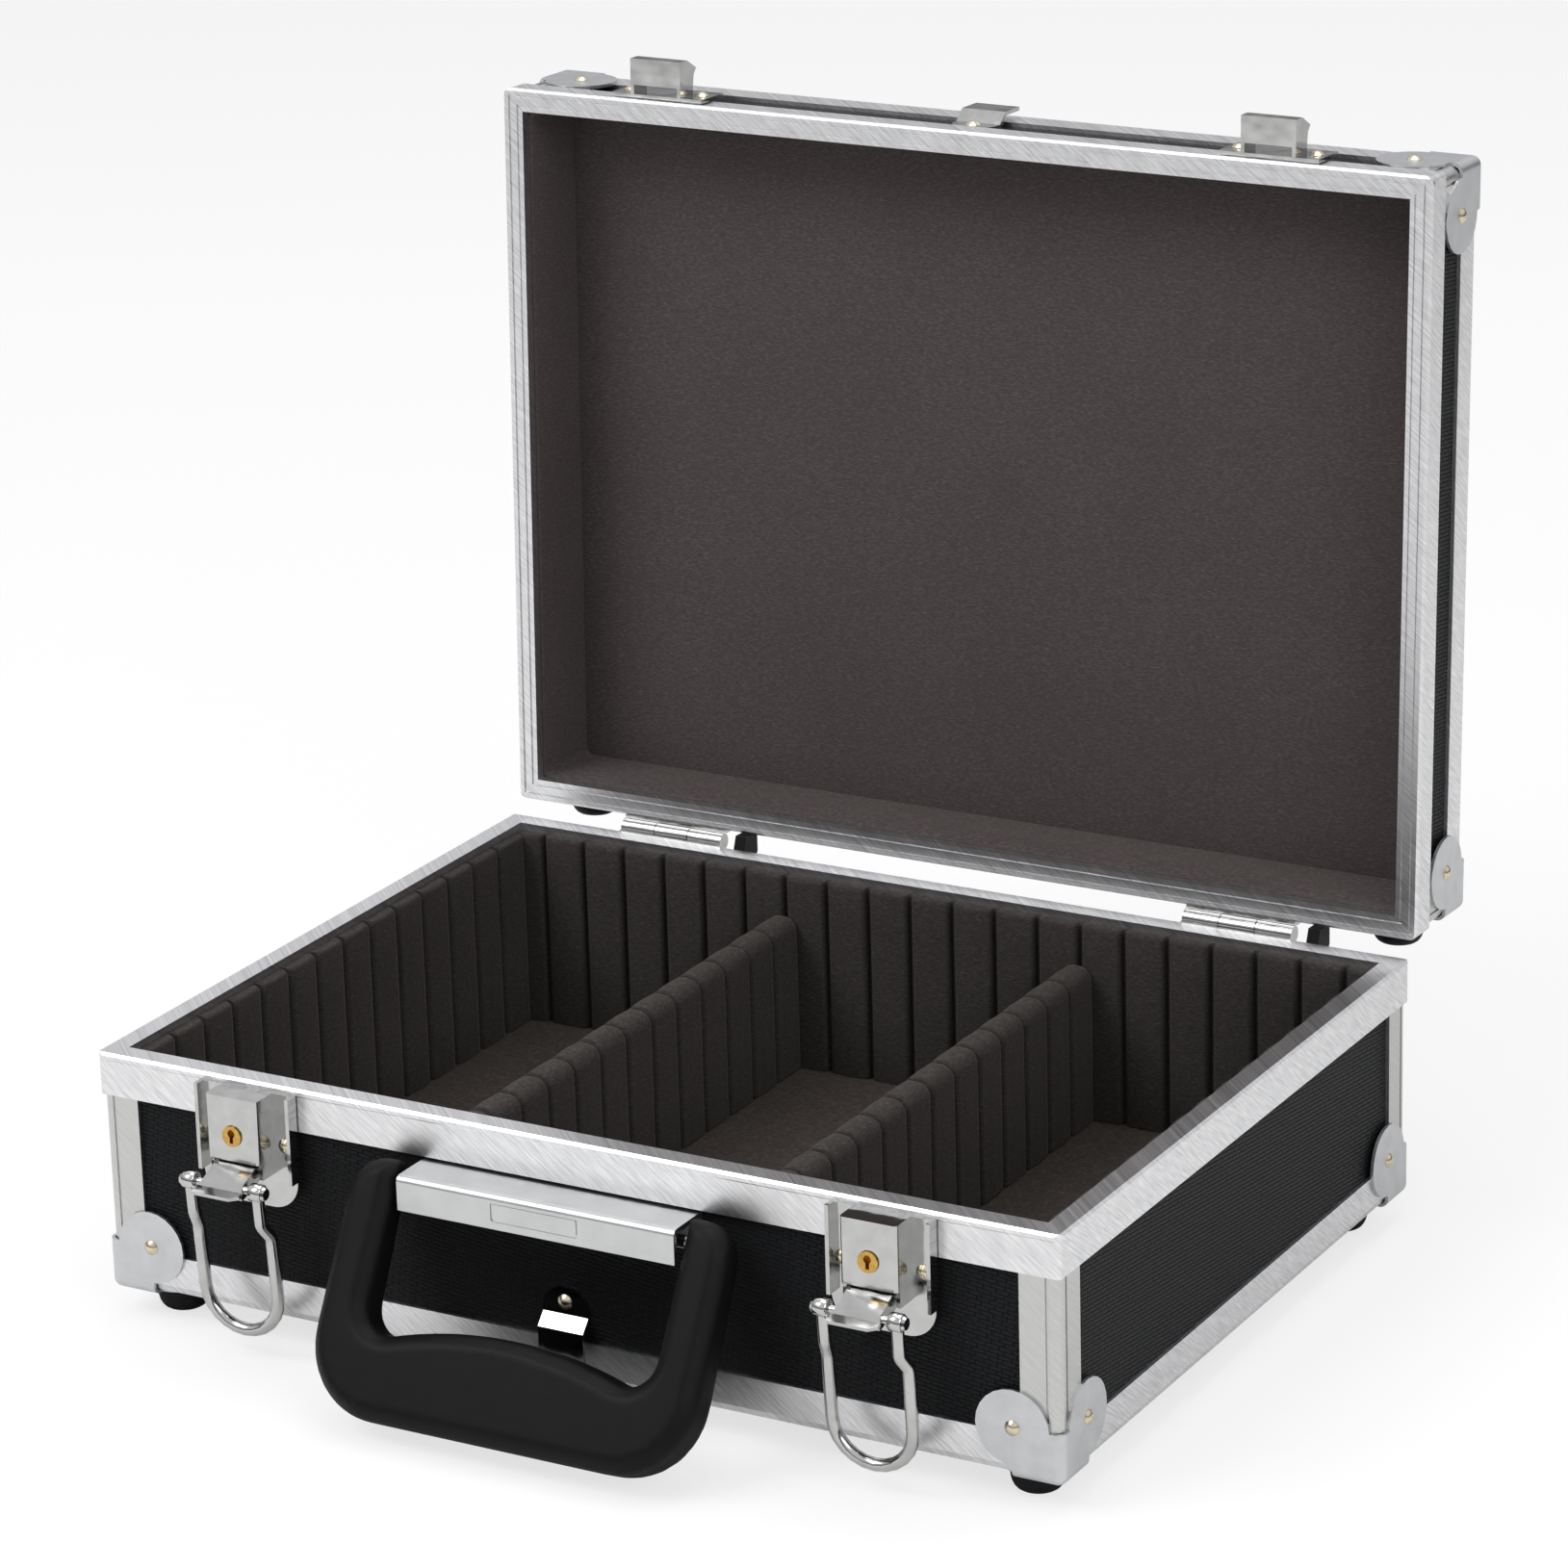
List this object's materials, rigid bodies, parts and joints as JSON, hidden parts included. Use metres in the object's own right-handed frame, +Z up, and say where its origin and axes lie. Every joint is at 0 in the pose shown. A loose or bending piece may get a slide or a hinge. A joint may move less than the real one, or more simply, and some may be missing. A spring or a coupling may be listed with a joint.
{
  "type": "minidisc flight case",
  "caption": "Small hard flight case with an open hinged lid, metal edge profiles, two key latches, a carrying handle and a ribbed lining with dividers.",
  "frame": {"origin": "under the middle of the opened case's overall box, on the surface it stands on", "axes": "+X along the front from left to right, +Y from the front to the hinges, +Z up"},
  "size_m": [0.3226, 0.3338, 0.3367],
  "materials": {
    "black_laminate": "fine embossed",
    "aluminium": "brushed anodised",
    "chrome": "polished",
    "nickel_rivets": "polished",
    "brass": "satin",
    "rubber": "matt",
    "black_plastic": "soft sheen",
    "grey_felt": "short pile"
  },
  "bodies": {
    "base": {"base_front_panel": "black_laminate", "base_back_panel": "black_laminate", "base_left_panel": "black_laminate", "base_right_panel": "black_laminate", "base_bottom_panel": "black_laminate", "base_rim": "aluminium", "base_bottom_edges": "aluminium", "base_corner_posts": "aluminium", "floor_pad": "grey_felt", "liner_front": "grey_felt", "liner_back": "grey_felt", "liner_left": "grey_felt", "liner_right": "grey_felt", "base_corner_caps": "chrome", "base_corner_rivets": "nickel_rivets", "base_feet": "rubber", "handle_bracket": "aluminium", "handle_pins": "chrome", "handle_rest": "chrome", "latch_left_plate": "chrome", "latch_left_housing": "chrome", "latch_right_plate": "chrome", "latch_right_housing": "chrome", "latch_lever_pins": "chrome", "front_rivets": "nickel_rivets", "hinge_left_base_leaf": "chrome", "hinge_right_base_leaf": "chrome", "hinge_pins": "chrome", "lid_stops": "black_plastic"},
    "lid": {"lid_front_panel": "black_laminate", "lid_back_panel": "black_laminate", "lid_left_panel": "black_laminate", "lid_right_panel": "black_laminate", "lid_top_panel": "black_laminate", "lid_rim": "aluminium", "lid_top_edges": "aluminium", "lid_corner_posts": "aluminium", "lid_top_lining": "grey_felt", "lid_wall_lining": "grey_felt", "lid_corner_caps": "chrome", "lid_corner_rivets": "nickel_rivets", "lid_back_feet": "rubber", "catch_left": "chrome", "catch_right": "chrome", "lid_clip": "chrome", "lid_front_rivets": "nickel_rivets", "hinge_left_lid_leaf": "chrome", "hinge_right_lid_leaf": "chrome"},
    "handle": {"handle": "black_plastic"},
    "latch_left_lever": {"latch_left_lever": "chrome"},
    "latch_left_bail_pin": {"latch_left_bail_pin": "chrome"},
    "latch_left_bail": {"latch_left_bail": "chrome"},
    "latch_left_plug": {"latch_left_plug": "brass"},
    "divider_left": {"divider_left": "grey_felt"},
    "latch_right_lever": {"latch_right_lever": "chrome"},
    "latch_right_bail_pin": {"latch_right_bail_pin": "chrome"},
    "latch_right_bail": {"latch_right_bail": "chrome"},
    "latch_right_plug": {"latch_right_plug": "brass"},
    "divider_right": {"divider_right": "grey_felt"}
  },
  "joints": [
    {"name": "lid_hinge", "type": "hinge", "parent": "base", "child": "lid", "pos_m": [0, 0.11954, 0.0847], "axis": [-1, 0, 0], "range_deg": [-92, 0]},
    {"name": "handle_hinge", "type": "hinge", "parent": "base", "child": "handle", "pos_m": [0, -0.12876, 0.06505], "axis": [-1, 0, 0], "range_deg": [0, 95]},
    {"name": "latch_left_lever_turn", "type": "hinge", "parent": "base", "child": "latch_left_lever", "pos_m": [-0.1055, -0.12626, 0.06], "axis": [-1, 0, 0], "range_deg": [-64, 0]},
    {"name": "latch_left_bail_pin_turn", "type": "hinge", "parent": "latch_left_lever", "child": "latch_left_bail_pin", "pos_m": [-0.1055, -0.13542, 0.05687], "axis": [-1, 0, 0], "range_deg": [0, 68]},
    {"name": "latch_left_bail_turn", "type": "hinge", "parent": "latch_left_bail_pin", "child": "latch_left_bail", "pos_m": [-0.1055, -0.13542, 0.05687], "axis": [-1, 0, 0], "range_deg": [0, 186]},
    {"name": "latch_left_key_turn", "type": "hinge", "parent": "base", "child": "latch_left_plug", "pos_m": [-0.1055, -0.12976, 0.0705], "axis": [0, 1, 0], "range_deg": [0, 90]},
    {"name": "latch_right_lever_turn", "type": "hinge", "parent": "base", "child": "latch_right_lever", "pos_m": [0.1055, -0.12626, 0.06], "axis": [-1, 0, 0], "range_deg": [-64, 0]},
    {"name": "latch_right_bail_pin_turn", "type": "hinge", "parent": "latch_right_lever", "child": "latch_right_bail_pin", "pos_m": [0.1055, -0.13542, 0.05687], "axis": [-1, 0, 0], "range_deg": [0, 68]},
    {"name": "latch_right_bail_turn", "type": "hinge", "parent": "latch_right_bail_pin", "child": "latch_right_bail", "pos_m": [0.1055, -0.13542, 0.05687], "axis": [-1, 0, 0], "range_deg": [0, 186]},
    {"name": "latch_right_key_turn", "type": "hinge", "parent": "base", "child": "latch_right_plug", "pos_m": [0.1055, -0.12976, 0.0705], "axis": [0, 1, 0], "range_deg": [0, 90]},
    {"name": "divider_left_slide", "type": "slide", "parent": "base", "child": "divider_left", "axis": [0, 0, 1], "range_m": [0, 0.058]},
    {"name": "divider_right_slide", "type": "slide", "parent": "base", "child": "divider_right", "axis": [0, 0, 1], "range_m": [0, 0.058]}
  ],
  "couplings": [
    {"joint": "latch_left_bail_pin_turn", "follows": "latch_left_lever_turn", "ratio": -1.0625},
    {"joint": "latch_right_bail_pin_turn", "follows": "latch_right_lever_turn", "ratio": -1.0625}
  ]
}
